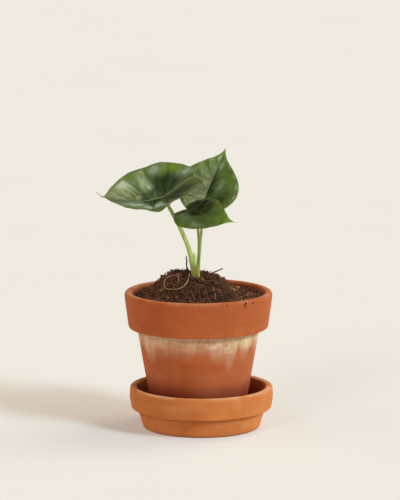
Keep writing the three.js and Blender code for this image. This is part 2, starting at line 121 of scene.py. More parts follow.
# Each pair is for the left and the right half, seen from the stalk to the tip; angles are in degrees.
# A nudge moves the blade round a place: along, across, its reach both ways, and the shift.
# A patch raises a value round a place: along, across, its reach both ways, and the amount. Shade and deep
# patches are painted shade; silver patches are the blade's own silvery sheen with painted highlights and
# reflections.
LEAVES = {
    "left": {
        "length": 66.0, "lobe": 38.0, "half_width": 37.4, "widths": (1.01, 1.03), "joined": 0.83,
        "tip_width": 0.04, "arch": 48, "lobe_arch": -9, "kink": 29, "fold": (12, -12),
        "lobe_fold": (-5, -24), "curl": (51, 24), "yaw": 199, "pitch": -15, "roll": -35,
        "at": (-33.1, -2.0, 206.4), "wave": {"at": 0.34, "span": 0.19, "swell": 0.06, "drop": -8.3},
        "radii": (1.8, 2.3, 2.0, 1.7, 1.5),
        "way": [(-6, 0, 122), (-6.6, 0, 135.2), (-10.2, 0.6, 156.7), (-17, 1.4, 174.4),
                (-25.6, 2.4, 191.2)],
        "veins": 0.8, "tip_green": 0.92,
        "nudges": [(-18, -37, 15, 18, (0, 0, 2.1)), (20, -34, 22, 14, (0, 0, 1.9))],
        "patches": [
            ("shade", -8, -12, 10, 9, 1.5), ("shade", -3, -20, 4, 7, 1.0), ("shade", 4, -9, 5, 5, 0.9),
            ("shade", -15, 9, 12, 7, 1.3), ("shade", 16.5, -3, 3, 9, 1.0), ("shade", 12, 5, 7, 4, 1.0),
            ("green", -17, -26, 9, 7, 0.9), ("green", 22, -33, 12, 3, 1.0), ("green", -20, 24, 14, 6, 0.6),
            # Deep patches are painted shade: a deeper, saturated green in the darkest shaded places.
            ("deep", -8, -12, 9, 8, 0.75), ("deep", 2, -7, 9, 5, 0.6), ("deep", -3, -20, 4, 6, 0.4),
            ("tip", -17, -27, 7, 6, 0.6),
            ("silver_and_painted_highlight", 48, -9, 13, 9, 0.15), ("silver_and_painted_highlight", 29, -23, 8, 4, 0.8), ("silver_and_painted_highlight", 12, -21, 2.5, 9, 0.6),
            ("silver_and_painted_highlight", 8, -15, 2, 5, 0.6), ("silver_and_painted_highlight", -4, -31, 5, 6, 0.8), ("silver_and_painted_highlight", -27, -15, 8, 6, 0.8),
            ("silver_and_painted_highlight", 31, 5, 10, 4, 1.5), ("silver_and_painted_highlight", 17, 15, 10, 5, 1.5), ("silver_and_painted_highlight", 0, 19, 7, 5, 1.1),
        ],
    },
    "back": {
        "length": 54.0, "lobe": 31.0, "half_width": 27.5, "widths": (0.99, 1.02), "joined": 0.68,
        "tip_width": 0.0, "arch": 21, "lobe_arch": 3, "kink": 3, "fold": (-3, 29),
        "lobe_fold": (1, 0), "curl": (-5, 6), "yaw": 73, "pitch": 30, "roll": 34,
        "at": (4.2, 11.0, 206.6), "wave": {"at": -0.2, "span": 0.3, "swell": 0.01, "drop": 0.5},
        "radii": (1.5, 1.6, 1.2, 1.2, 1.3),
        "way": [(-3.4, 2.8, 122), (-3.2, 2.8, 135.2), (-2.1, 4, 151.2), (-0.6, 6, 166.3),
                (1.4, 10, 187.3)],
        "veins": 0.22, "tip_green": 0.82,
        "nudges": [(54, 0, 8, 12, (0.4, 0, 2.6))],
        "patches": [
            ("shade", 2, 10, 20, 10, 0.7), ("shade", 8, -1, 20, 6, 0.8), ("shade", -8, -14, 14, 7, 0.75),
            ("green", 24, -17, 20, 6, 0.5), ("green", -10, -23, 12, 4, 0.4), ("silver_and_painted_highlight", 37, -3, 5, 2, 0.8),
            ("green", 26, 14, 14, 6, 0.8), ("silver_and_painted_highlight", 12, -10, 7, 3, 0.35), ("green", 46, 0, 9, 8, 0.6),
        ],
    },
    "front": {
        "length": 41.7, "lobe": 22.5, "half_width": 19.5, "widths": (0.99, 1.01), "joined": 0.68,
        "tip_width": -0.04, "arch": -31, "lobe_arch": -7, "kink": -9, "fold": (-38, 31),
        "lobe_fold": (-2, 7), "curl": (-2, 1), "yaw": -47, "pitch": -4, "roll": 70.5,
        "at": (-5.1, -34.0, 198.4), "wave": {"at": 0.3, "span": 0.25, "swell": 0.01, "drop": -0.4},
        "radii": (1.5, 1.7, 1.3, 1.2, 1.3),
        "way": [(-3.4, -2.4, 122), (-3.2, -2.8, 135.2), (-2.3, -8, 151), (-2, -16, 168.6),
                (-3, -25.4, 184.3)],
        "veins": 0.12, "tip_green": 0.72,
        "nudges": [(10, 20, 10, 8, (0, 0, 1.1))],
        "patches": [
            ("shade", 0, 6, 14, 11, 1.9), ("shade", 12, -8, 12, 6, 0.5), ("green", 27, 2, 10, 9, 0.8),
            ("green", -6, -17, 12, 4, 0.5), ("silver_and_painted_highlight", -4, -9, 7, 4, 0.35), ("silver_and_painted_highlight", 10, -13, 9, 3, 0.3),
        ],
    },
}
# Sheath at the stalks' foot: height, middle in x, half width and half depth.
SHEATH = [(128, -5.0, 4.2, 3.4), (137, -5.0, 3.8, 3.1), (145, -5.1, 2.9, 2.6), (149.5, -5.3, 2.2, 2.0),
          (153.5, -5.8, 1.3, 1.2), (157, -6.7, 0.3, 0.3)]
TIP_THREAD = {"radius": 0.4, "length": 7.0, "rooted": 0.97, "direction": (-0.8, 0.0, 0.6)}

# Veins of one half, in the outline's shares: three points each, half width of the dark band at both ends,
# and how clearly it shows.
VEINS = [
    {"way": [(0.17, 0.0), (0.25, 0.38), (0.40, 0.86)], "band": (2.2, 0.7), "clear": 1.0},
    {"way": [(0.42, 0.0), (0.50, 0.28), (0.63, 0.55)], "band": (1.6, 0.7), "clear": 0.3},
    {"way": [(0.64, 0.0), (0.71, 0.17), (0.80, 0.26)], "band": (1.2, 0.5), "clear": 0.2},
    {"way": [(0.0, 0.0), (0.03, 0.45), (0.08, 1.02)], "band": (3.2, 1.1), "clear": 0.6},
    {"way": [(0.0, 0.0), (-0.45, 0.17), (-0.93, 0.42)], "band": (2.4, 1.0), "clear": 0.6},
    {"way": [(-0.12, 0.03), (-0.30, 0.45), (-0.47, 0.93)], "band": (2.6, 1.0), "clear": 0.6},
    {"way": [(-0.45, 0.17), (-0.62, 0.42), (-0.78, 0.68)], "band": (1.8, 0.8), "clear": 0.5},
]
RIB_BAND = (5.0, 1.3)
VEIN_LINE = 0.4

ROOTS = {
    "root_upright": {
        "radii": (1.9, 1.1, 0.7, 0.6, 0.5),
        "way": [(-10, 0.4, 126), (-10.6, 0.2, 138.2), (-12.8, 0, 143.2), (-12.9, 0, 149.2),
                (-13.4, 0, 153.4)],
    },
    "root_twig": {
        "radii": (1.2, 1.1, 0.8, 0.5),
        "way": [(-23.4, 2, 128), (-23.8, 2, 136.2), (-24.4, 2, 138.2), (-22.2, 1.4, 141.6)],
    },
    "root_right": {
        "radii": (0.7, 0.7, 0.6, 0.5),
        "way": [(5, 4, 128), (9.4, 3.6, 136.4), (14.6, 2.6, 139.6), (19, 2, 141.6)],
    },
}
PALE_ROOT = {
    "radius": 0.32, "lift": 3.3, "buried": 6.5,
    "way": [(-10.5, -4), (-10.9, -16), (-13.2, -25), (-16.5, -28.5), (-21.3, -29.5), (-28.4, -27),
            (-32.3, -23), (-32.5, -13), (-28.4, -7.5), (-22, -11), (-20, -16)],
}


# Small mathematics

def smooth(t):
    t = np.clip(t, 0, 1)
    return t * t * (3 - 2 * t)


def lattice(i, j):
    s = np.sin(i * 127.1 + j * 311.7) * 43758.5453
    return 2 * (s - np.floor(s)) - 1


def noise(x, y):
    """Smooth noise between -1 and 1, the same one that shapes the soil's solid."""
    i, j = np.floor(x), np.floor(y)
    fx, fy = smooth(x - i), smooth(y - j)
    near = lattice(i, j) * (1 - fx) + lattice(i + 1, j) * fx
    far = lattice(i, j + 1) * (1 - fx) + lattice(i + 1, j + 1) * fx
    return near * (1 - fy) + far * fy


def unit(a):
    a = np.asarray(a, float)
    return a / np.maximum(np.linalg.norm(a, axis=-1, keepdims=True), 1e-12)


def turned(points, axis, degrees):
    """Points turned about an axis through the origin."""
    axis = unit(axis)
    c, s = math.cos(math.radians(degrees)), math.sin(math.radians(degrees))
    return points * c + np.cross(axis, points) * s + np.outer(points @ axis, axis) * (1 - c)


def spline(points, count):
    """Points spread evenly by number along a smooth curve through the given ones."""
    points = np.asarray(points, float)
    last = len(points) - 1
    t = np.linspace(0, last, count)
    k = np.minimum(t.astype(int), last - 1)
    f = (t - k)[:, None]
    a, b = points[np.maximum(k - 1, 0)], points[k]
    c, d = points[k + 1], points[np.minimum(k + 2, last)]
    return b + 0.5 * f * (c - a + f * (2 * a - 5 * b + 4 * c - d + f * (3 * (b - c) + d - a)))


def even(points, count):
    """The same line with its points spread evenly by length."""
    reach = np.concatenate([[0], np.cumsum(np.linalg.norm(np.diff(points, axis=0), axis=1))])
    at = np.linspace(0, reach[-1], count)
    return np.stack([np.interp(at, reach, points[:, k]) for k in range(points.shape[1])], -1)


# Meshes

def skin(rings, poles=(None, None), wrap=False):
    """Points and faces through equal rings of points; a pole closes an end, and wrap joins the two ends."""
    rings = np.asarray(rings, float)
    count, sides = rings.shape[:2]
    index = np.arange(count * sides).reshape(count, sides)
    rows = np.vstack([index, index[:1]]) if wrap else index
    low, high = rows[:-1], rows[1:]
    quads = np.stack([low, np.roll(low, -1, 1), np.roll(high, -1, 1), high], -1).reshape(-1, 4)
    points, faces = [rings.reshape(-1, 3)], quads.tolist()
    total = count * sides
    for pole, row, forward in ((poles[0], index[0], False), (poles[1], index[-1], True)):
        if pole is None:
            continue
        points.append(np.asarray(pole, float)[None])
        near, far = (row, np.roll(row, -1)) if forward else (np.roll(row, -1), row)
        faces += [[int(a), int(b), total] for a, b in zip(near, far)]
        total += 1
    return np.vstack(points), faces


def facing_out(points, faces):
    """The faces turned so that they face out of the solid."""
    fans = [(f[0], f[k], f[k + 1]) for f in faces for k in range(1, len(f) - 1)]
    a, b, c = (points[list(corner)] for corner in zip(*fans))
    volume = np.einsum("ij,ij->i", a, np.cross(b, c)).sum()
    return faces if volume >= 0 else [f[::-1] for f in faces]


def piece(name, points, faces, material, values=None, smooth_shading=True):
    """A mesh object from points in millimetres, its faces turned out, with named values at its points."""
    mesh = bpy.data.meshes.new(name)
    mesh.from_pydata((points * MM).tolist(), [], facing_out(points, faces))
    for key, value in (values or {}).items():
        mesh.attributes.new(key, "FLOAT", "POINT").data.foreach_set("value", np.asarray(value, np.float32))
    mesh.polygons.foreach_set("use_smooth", np.full(len(mesh.polygons), smooth_shading))
    mesh.materials.append(material)
    made = bpy.data.objects.new(name, mesh)
    bpy.context.scene.collection.objects.link(made)
    return made


def dress(made, slot, *nodes):
    """Ties a piece to the part: it rides on the body and stands for nodes, which it hides. The slot is not
    used.
    """
    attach(made, "root")
    if nodes:
        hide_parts(*nodes)


def stem(way, radii, sides, steps):
    """Rings of a round stem along a smooth way; radii are spread evenly from start to end."""
    line = even(spline(way, 12 * len(way)), steps + 1)
    ahead = unit(np.gradient(line, axis=0))
    side = unit(np.cross(ahead[0], (0.31, 0.77, 0.55)))
    widths = np.interp(np.linspace(0, len(radii) - 1, steps + 1), range(len(radii)), radii)
    angle = TURN * np.arange(sides) / sides
    rings = []
    for centre, forward, radius in zip(line, ahead, widths):
        side = unit(side - forward * (side @ forward))
        up = np.cross(forward, side)
        rings.append(centre + radius * (np.outer(np.cos(angle), side) + np.outer(np.sin(angle), up)))
    return np.array(rings), line


# Materials

def colour(red, green, blue):
    """A colour as the photograph shows it, 0 to 255, as linear RGBA."""
    share = np.array([red, green, blue]) / 255
    linear = np.where(share <= 0.04045, share / 12.92, ((share + 0.055) / 1.055) ** 2.4)
    return (*linear.tolist(), 1.0)


class Finish:
    """A procedural material, built node by node."""

    def __init__(self, name):
        self.material = bpy.data.materials.new(name)
        self.material.use_nodes = True
        self.tree = self.material.node_tree
        self.shader = self.tree.nodes["Principled BSDF"]
        self.place = self.add("TexCoord").outputs["Object"]

    def add(self, kind, settings=None, **inputs):
        made = self.tree.nodes.new("ShaderNode" + kind)
        for key, value in (settings or {}).items():
            setattr(made, key, value)
        for key, value in inputs.items():
            self.put(made.inputs[key.replace("_", " ")], value)
        return made

    def put(self, socket, value):
        if isinstance(value, bpy.types.NodeSocket):
            self.tree.links.new(value, socket)
        else:
            socket.default_value = value

    def set(self, **inputs):
        for key, value in inputs.items():
            self.put(self.shader.inputs[key.replace("_", " ")], value)

    def value(self, name):
        return self.add("Attribute", {"attribute_name": name}).outputs["Fac"]

    def grain(self, scale, detail, stretch=(1, 1, 1), seed=0.0):
        """Noise from 0 to 1; scale is in features a metre."""
        place = self.add("Mapping", Vector=self.place, Scale=stretch, Location=(seed, seed, seed)).outputs[0]
        made = self.add("TexNoise", Vector=place, Scale=scale, Detail=detail, Roughness=0.6)
        return made.outputs["Fac"]

    def spread(self, value, low, high, to=(0.0, 1.0)):
        """Stretches the range low to high of a value to the range to."""
        made = self.add("MapRange", {"clamp": True}, Value=value)
        for key, number in (("From Min", low), ("From Max", high), ("To Min", to[0]), ("To Max", to[1])):
            made.inputs[key].default_value = number
        return made.outputs[0]

    def math(self, operation, a, b):
        made = self.add("Math", {"operation": operation, "use_clamp": True})
        self.put(made.inputs[0], a)
        self.put(made.inputs[1], b)
        return made.outputs[0]

    def mix(self, share, a, b):
        made = self.add("Mix", {"data_type": "RGBA"})
        for slot, value in ((0, share), (6, a), (7, b)):
            self.put(made.inputs[slot], value)
        return made.outputs[2]

    def bump(self, height, depth, strength, below=None):
        """Relief from a height of 0 to 1 that stands for depth in millimetres."""
        made = self.add("Bump", Height=height, Strength=strength, Distance=depth * MM)
        if below is not None:
            self.put(made.inputs["Normal"], below)
        return made.outputs["Normal"]


def clay(name, deep, middle, light, bloom, tint):
    """Unglazed terracotta: clouds, grit, faint throwing lines, and bloom, tint, painted shade on low parts,
    and dirt with painted shade, by value.
    """
    f = Finish(name)
    clouds = f.grain(22, 4)
    patches = f.grain(70, 3, seed=3.0)
    lines = f.grain(1, 2, (9, 9, 620), seed=1.0)
    grit = f.grain(1500, 2, seed=5.0)
    base = f.mix(f.spread(clouds, 0.3, 0.7, (0.3, 1.0)), deep, middle)
    base = f.mix(f.spread(patches, 0.5, 0.8, (0, 0.35)), base, light)
    base = f.mix(f.spread(lines, 0.5, 0.75, (0, 0.22)), base, deep)
    base = f.mix(f.spread(grit, 0.62, 0.75, (0, 0.35)), base, light)
    base = f.mix(f.spread(grit, 0.36, 0.27, (0, 0.4)), base, deep)
    flecks = f.spread(f.grain(260, 4, (1, 1, 0.7)), 0.25, 0.6, (0.45, 1.0))
    base = f.mix(f.math("MULTIPLY", f.value("bloom"), flecks), base, bloom)
    base = f.mix(f.value("tint"), base, tint)
    # Painted shade: dark red-brown over the lower parts of the clay.
    base = f.mix(f.value("painted_low_shade"), base, colour(126, 34, 4))
    # Dirt, and painted shade along the saucer's foot.
    base = f.mix(f.value("dirt_and_painted_shade"), base, colour(58, 38, 26))
    f.set(Base_Color=base, Roughness=f.spread(grit, 0.2, 0.8, (0.78, 0.95)), Specular_IOR_Level=0.35)
    f.set(Diffuse_Roughness=0.8)
    low = f.bump(lines, 0.18, 0.5)
    f.set(Normal=f.bump(grit, 0.12, 0.6, low))
    return f.material


def leaf_finish():
    """Leathery blade: silvery green panels with painted highlights and reflections, dark bands along the
    veins, painted shade in patches, fine vein lines and a green margin.
    """
    f = Finish("leaf_blade")
    fine = f.grain(900, 3)
    cloud = f.grain(95, 3, seed=2.0)
    band = f.value("band")
    edge = f.spread(f.grain(420, 3, seed=4.0), 0.2, 0.8, (-0.16, 0.16))
    band = f.math("ADD", band, f.math("MULTIPLY", edge, f.spread(band, 0.0, 0.25)))
    panel = f.mix(f.spread(cloud, 0.35, 0.65), colour(66, 80, 28), colour(94, 106, 52))
    panel = f.mix(f.spread(fine, 0.4, 0.7, (0, 0.3)), panel, colour(56, 72, 18))
    # Painted highlights and reflections, mixed with the blade's own silvery sheen, in fine streaks where the
    # silver patches are.
    silver_and_highlight_grain = f.spread(f.grain(380, 4, seed=7.0), 0.3, 0.6, (0.55, 1.0))
    panel = f.mix(f.math("MULTIPLY", f.value("silver_and_painted_highlight"), silver_and_highlight_grain), panel, colour(162, 170, 140))
    panel = f.mix(f.value("green"), panel, colour(78, 96, 12))
    panel = f.mix(f.value("tip"), panel, colour(116, 132, 24))
    dark = f.mix(f.spread(cloud, 0.35, 0.65), colour(14, 22, 2), colour(30, 42, 8))
    top = f.mix(f.math("ADD", band, f.value("shade")), panel, dark)
    # Painted shade: a deep dark green where the deep patches are.
    top = f.mix(f.value("deep"), top, colour(22, 50, 0))
    top = f.mix(f.value("margin"), top, colour(78, 88, 26))
    top = f.mix(f.value("vein"), top, colour(150, 164, 100))
    below = f.mix(band, colour(120, 138, 82), colour(96, 116, 60))
    base = f.mix(f.value("under"), top, below)
    dull = f.math("MULTIPLY", f.math("MAXIMUM", band, f.value("green")), 0.26)
    dull = f.math("MAXIMUM", dull, f.math("MULTIPLY", f.value("tip"), 0.7))
    gloss = f.math("ADD", f.spread(fine, 0.25, 0.75, (0.24, 0.34)), dull)
    f.set(Base_Color=base, Roughness=gloss, Specular_IOR_Level=0.5, Specular_Tint=(0.92, 0.98, 0.62, 1))
    f.set(Normal=f.bump(fine, 0.05, 0.5))
    return f.material


def stalk_finish():
    """Smooth pale green stalk with fine lengthwise streaks, yellower at the foot."""
    f = Finish("leaf_stalk")
    streak = f.grain(500, 3, (1, 1, 0.08))
    spots = f.grain(600, 2, seed=6.0)
    base = f.mix(f.spread(streak, 0.3, 0.7), colour(146, 156, 62), colour(186, 194, 104))
    base = f.mix(f.value("foot"), base, colour(176, 176, 78))
    base = f.mix(f.value("shaded"), base, colour(96, 100, 34))
    base = f.mix(f.value("pale"), base, colour(196, 200, 140))
    base = f.mix(f.spread(spots, 0.62, 0.75, (0, 0.25)), base, colour(110, 104, 50))
    f.set(Base_Color=base, Roughness=f.spread(spots, 0.2, 0.8, (0.36, 0.5)), Specular_IOR_Level=0.45)
    f.set(Normal=f.bump(streak, 0.08, 0.5))
    return f.material


def soil_finish(name, tones):
    """Crumbly earth: every crumb has its own tone, with specks and a rough skin."""
    f = Finish(name)
    ramp = f.add("ValToRGB", Fac=f.value("tone"))
    stops = ramp.color_ramp.elements
    while len(stops) < len(tones):
        stops.new(0.5)
    for k, tone in enumerate(tones):
        stops[k].position = k / (len(tones) - 1)
        stops[k].color = colour(*tone)
    specks = f.grain(1300, 3)
    base = f.mix(f.spread(specks, 0.5, 0.75, (0, 0.5)), ramp.outputs["Color"], colour(112, 78, 50))
    base = f.mix(f.spread(specks, 0.42, 0.3, (0, 0.6)), base, colour(24, 14, 9))
    f.set(Base_Color=base, Roughness=0.92, Specular_IOR_Level=0.2)
    f.set(Normal=f.bump(specks, 0.3, 0.8))
    return f.material


def root_finish(name, dark, light):
    """Dry root with lengthwise wrinkles."""
    f = Finish(name)
    streak = f.grain(900, 3, (1, 1, 0.25))
    base = f.mix(f.spread(streak, 0.35, 0.7), dark, light)
    f.set(Base_Color=base, Roughness=0.85, Specular_IOR_Level=0.25)
    f.set(Normal=f.bump(streak, 0.15, 0.7))
    return f.material


def floor_finish():
    """Plain warm white studio floor."""
    f = Finish("floor_pale")
    soft = f.grain(3, 2)
    base = f.mix(f.spread(soft, 0.3, 0.7), *FLOOR_TONES)
    f.set(Base_Color=base, Roughness=0.9, Specular_IOR_Level=0.1)
    f.set(Emission_Color=FLOOR_GLOW_TONE, Emission_Strength=FLOOR_GLOW)
    return f.material


# Camera, floor and light

def make_camera():
    data = bpy.data.cameras.new("camera")
    data.lens = SENSOR * CAMERA["distance"] / CAMERA["frame_height"]
    data.clip_end = CLIP_END
    camera = bpy.data.objects.new("camera", data)
    bpy.context.scene.collection.objects.link(camera)
    tilt = math.radians(CAMERA["elevation"])
    back = np.array([0, -math.cos(tilt), math.sin(tilt)])
    camera.location = (np.array(CAMERA["target"]) + CAMERA["distance"] * back) * MM
    camera.rotation_euler = (math.pi / 2 - tilt, 0, 0)
    bpy.context.scene.camera = camera


def make_floor():
    corners = np.array([(-1, -1, 0), (1, -1, 0), (1, 1, 0), (-1, 1, 0)], float) * FLOOR_REACH / MM
    floor = piece("floor", corners, [[0, 1, 2, 3]], floor_finish())


def sun(name, azimuth, elevation, angle, strength, tone):
    """A broad lamp far away. Azimuth is where the light comes from, from +X towards +Y."""
    data = bpy.data.lights.new(name, "SUN")
    data.energy, data.angle, data.color = strength, math.radians(angle), tone
    lamp = bpy.data.objects.new(name, data)
    bpy.context.scene.collection.objects.link(lamp)
    lamp.rotation_euler = (0, math.radians(90 - elevation), math.radians(azimuth))


def towards(azimuth, elevation):
    """Unit vector to a place on the sky, in degrees; azimuth is from +X towards +Y."""
    a, e = math.radians(azimuth), math.radians(elevation)
    return (math.cos(a) * math.cos(e), math.sin(a) * math.cos(e), math.sin(e))


def make_world():
    """Studio round the object: pale low walls, a dim ceiling and broad soft panels of light."""
    world = bpy.data.worlds.new("studio")
    world.use_nodes = True
    bpy.context.scene.world = world
    tree = world.node_tree
    look = tree.nodes.new("ShaderNodeTexCoord").outputs["Generated"]
    total = tree.nodes.new("ShaderNodeValue").outputs[0]
    total.default_value = STUDIO_DIM
    for azimuth, elevation, inner, outer, strength in STUDIO_PANELS:
        dot = tree.nodes.new("ShaderNodeVectorMath")
        dot.operation = "DOT_PRODUCT"
        tree.links.new(look, dot.inputs[0])
        dot.inputs[1].default_value = towards(azimuth, elevation)
        reach = tree.nodes.new("ShaderNodeMapRange")
        reach.interpolation_type = "SMOOTHSTEP"
        limits = (math.cos(math.radians(outer)), math.cos(math.radians(inner)), 0.0, strength)
        for key, number in zip(("From Min", "From Max", "To Min", "To Max"), limits):
            reach.inputs[key].default_value = number
        tree.links.new(dot.outputs["Value"], reach.inputs["Value"])
        join = tree.nodes.new("ShaderNodeMath")
        join.operation = "ADD"
        tree.links.new(reach.outputs[0], join.inputs[0])
        tree.links.new(total, join.inputs[1])
        total = join.outputs[0]
    background = tree.nodes["Background"]
    background.inputs["Color"].default_value = STUDIO_TONE
    tree.links.new(total, background.inputs["Strength"])


def make_light():
    make_world()
    for name, settings in LAMPS.items():
        sun(name, *settings)
    bpy.context.scene.view_settings.view_transform = "Standard"


# Clay

def profile(corners):
    """Profile points from corners (radius, height, fillet), rounded at the fillets and finely divided."""
    corners = [(*c, 0)[:3] for c in corners]
    path = [np.array(corners[0][:2], float)]
    for k in range(1, len(corners)):
        here, fillet = np.array(corners[k][:2], float), corners[k][2]
        if fillet == 0 or k == len(corners) - 1:
            path.append(here)
            continue
        start = here + fillet * unit(np.array(corners[k - 1][:2]) - here)
        end = here + fillet * unit(np.array(corners[k + 1][:2]) - here)
        for t in np.linspace(0, 1, FILLET_STEPS):
            path.append((1 - t) ** 2 * start + 2 * t * (1 - t) * here + t * t * end)
    fine = [path[0]]
    for a, b in zip(path, path[1:]):
        count = max(1, int(np.linalg.norm(b - a) / CLAY_STEP))
        fine += [a + (b - a) * (k + 1) / count for k in range(count)]
    return np.array(fine)


def lathe(points, centre_x, foot, wobble):
    """Rings of a profile turned about an upright axis, a little uneven as thrown clay is."""
    angle = TURN * np.arange(CLAY_SIDES) / CLAY_SIDES
    radius = points[:, :1] * np.ones(CLAY_SIDES)
    around = noise(4 * np.cos(angle)[None] + points[:, 1:] / 30, 4 * np.sin(angle)[None] + 7)
    ridges = noise(points[:, 1:] / 2.3 + 0 * radius, 3 + 0.4 * np.cos(angle)[None] + 0 * radius)
    radius = radius + np.where(points[:, :1] > 12, wobble * (0.6 * around + 0.4 * ridges), 0)
    height = points[:, 1:] + foot + 0 * radius
    return np.stack([centre_x + radius * np.cos(angle), radius * np.sin(angle), height], -1)


def make_saucer():
    heel, waist, band = SAUCER["heel_radius"], SAUCER["waist_radius"], SAUCER["band_radius"]
    foot, height, wall, floor = SAUCER["band_foot"], SAUCER["height"], SAUCER["wall"], SAUCER["floor"]
    points = profile([
        (0, 0), (heel, 0, 1.6), (waist, foot, 0.8), (band - 1.8, foot + 0.6, 1.2), (band, foot + 10, 4),
        (band - 0.6, height, 2.4), (band - 0.6 - wall, height, 2.2), (waist - wall + 1.6, foot + 3, 5),
        (heel - 3.5, floor, 5), (0, floor),
    ])
    rings = lathe(points[1:-1], 0, 0, 0.12)
    solid, faces = skin(rings, ((0, 0, 0), (0, 0, floor)))
    x, y, z = solid.T
    around = np.degrees(np.arctan2(y, x))
    lip = np.exp(-((z - height) / 1.6) ** 2)
    worn = 0.35 * lip * smooth(0.5 + noise(around / 9, z * 0 + 2))
    faint = 0.16 * smooth(noise(around / 15, z / 7) - 0.1)
    inner_wall = heel - 2 + 0.27 * z
    # Painted shade inside the saucer, darker further down under the pot.
    inside = np.where((np.hypot(x, y) < inner_wall) & (z > 5), smooth((height - 2 - z) / 9), 0)
    # Painted shade along the saucer's foot, where it stands on the floor.
    foot_line = 0.5 * np.exp(-(z / 1.5) ** 2)
    values = {"bloom": worn + faint, "tint": 0 * z, "dirt_and_painted_shade": foot_line, "painted_low_shade": 0.5 * inside}
    finish = clay("saucer_clay", colour(180, 94, 36), colour(204, 118, 50), colour(222, 144, 76),
                  colour(230, 182, 132), colour(190, 170, 110))
    made = piece("saucer_fired", solid, faces, finish, values)
    dress(made, "saucer_clay", "saucer")


def pot_values(solid):
    """Bloom under the rim with its greenish part, dirt, and painted shade that darkens the pot towards its
    foot, from the place on the pot.
    """
    x, y, z = solid[:, 0] - POT["x"], solid[:, 1], solid[:, 2] - POT["z"]
    around = np.degrees(np.arctan2(y, x))
    radius = np.hypot(x, y)
    taper = (POT["neck_radius"] - POT["base_radius"]) / POT["band_foot"]
    wall_outside = radius > POT["base_radius"] - 1 + taper * z
    depth = POT["band_foot"] - z
    reach = 12 + 3 * noise(around / 13, 0 * z) + 1.2 * noise(around / 5, 0 * z + 5)
    for place, width, run in BLOOM_RUNS:
        away = (around - place + 180) % 360 - 180
        reach = np.maximum(reach, run * np.exp(-(away / width) ** 4) + noise(around / 6, 0 * z + 9))
    below = (depth > -0.5) & wall_outside & (z > 20)
    bloom = np.where(below, smooth(0.4 + (reach - depth) / 22), 0) * (0.5 + 0.5 * smooth((19 - depth) / 12))
    bloom *= 0.78 + 0.2 * noise(around / 8, z / 7) + 0.2 * noise(around / 15, z / 1.6)
    haze = np.where(wall_outside & (depth > 0), 0.04 * smooth(0.6 + noise(around / 17, z / 19)), 0)
    away = (around + 38 + 180) % 360 - 180
    tint = np.where(below, 0.36 * np.exp(-(away / 16) ** 2 - ((depth - 8) / 5) ** 2), 0)
    lip = np.exp(-((z - POT["height"]) / 2) ** 2) * 0.14 * smooth(noise(around / 7, 0 * z + 3) + 0.3)
    inner_wall = POT["band_radius"] - POT["wall"] + 0.5
    # The inner wall above the soil is evenly darker, and a small dark mark sits under the band.
    inside = np.where((depth < 0) & (z < POT["height"] - 2) & (radius < inner_wall), 0.3, 0)
    mark = np.exp(-((around + 152) / 1.4) ** 2 - ((depth - 1) / 1.4) ** 2)
    # Painted shade: the outside wall darkens towards the foot, near the saucer.
    painted_low_shade = np.where(wall_outside, 0.95 * smooth((46 + 4 * noise(around / 20, 0 * z) - z) / 24), 0)
    return {"bloom": np.clip(bloom + haze * (bloom < 0.2) + lip, 0, 1), "tint": tint,
            "dirt_and_painted_shade": np.clip(inside + 0.8 * mark, 0, 1), "painted_low_shade": painted_low_shade}


def make_pot():
    base, neck, band = POT["base_radius"], POT["neck_radius"], POT["band_radius"]
    foot, height, wall, drain = POT["band_foot"], POT["height"], POT["wall"], POT["drain_radius"]
    points = profile([
        (drain, 0), (base, 0, 1.6), (neck, foot, 0.6), (POT["band_foot_radius"], foot, 2.4),
        (band, height - 4, 1), (band - 0.4, height, 2.8), (band - wall - 0.4, height, 2.6),
        (band - wall - 3.3, foot + 5, 1), (neck - wall + 0.2, foot - 3, 2), (base - wall + 2, wall + 0.5, 4),
        (drain, wall + 0.5), (drain, 0),
    ])
    rings = lathe(points[:-1], POT["x"], POT["z"], 0.16)
    solid, faces = skin(rings, wrap=True)
    finish = clay("pot_clay", colour(164, 76, 27), colour(184, 90, 37), colour(204, 114, 58),
                  colour(232, 204, 164), colour(210, 194, 122))
    made = piece("pot_fired", solid, faces, finish, pot_values(solid))
    dress(made, "pot_clay", "pot")


# Soil

def soil_height(x, y):
    """Height of the soil's surface, as on its solid."""
    hill = SOIL["hill"]
    reach = np.hypot((x - hill["x"]) / hill["reach"], (y - hill["y"]) / hill["reach"])
    z = SOIL["level"] - SOIL["front_rise"] * y / POT["band_radius"]
    z = z + hill["height"] * np.exp(-(reach ** hill["steepness"]))
    for at_x, at_y, size, height in SOIL["humps"]:
        z = z + height * np.exp(-((x - at_x) ** 2 + (y - at_y) ** 2) / size ** 2)
    z = z + SOIL["clod_height"] * noise(x / SOIL["clod"], y / SOIL["clod"])
    return z + SOIL["crumb_height"] * noise(x / SOIL["crumb"] + 31, y / SOIL["crumb"] + 17)


def bed_radius():
    return POT["band_radius"] - POT["wall"] - 0.7


def make_bed():
    rim = bed_radius()
    angle = TURN * np.arange(SOIL["sides"]) / SOIL["sides"]
    share = np.linspace(0, 1, SOIL["rings"] + 1)[1:, None]
    x, y = POT["x"] + rim * share * np.cos(angle), rim * share * np.sin(angle)
    z = soil_height(x, y) + SOIL["grit_height"] * noise(x / SOIL["grit"], y / SOIL["grit"])
    rings = np.stack([x, y, z], -1)
    skirt = rings[-1:].copy()
    skirt[..., 2] = POT["z"] + POT["band_foot"]
    top = (POT["x"], 0, float(soil_height(np.array(POT["x"]), np.array(0.0))))
    solid, faces = skin(np.vstack([rings, skirt]), (top, (POT["x"], 0, POT["z"] + POT["band_foot"])))
    tone = 0.1 + 0.1 * noise(solid[:, 0] / 2.1, solid[:, 1] / 2.1)
    made = piece("soil_bed", solid, faces, earth, {"tone": tone})
    dress(made, "soil", "soil")


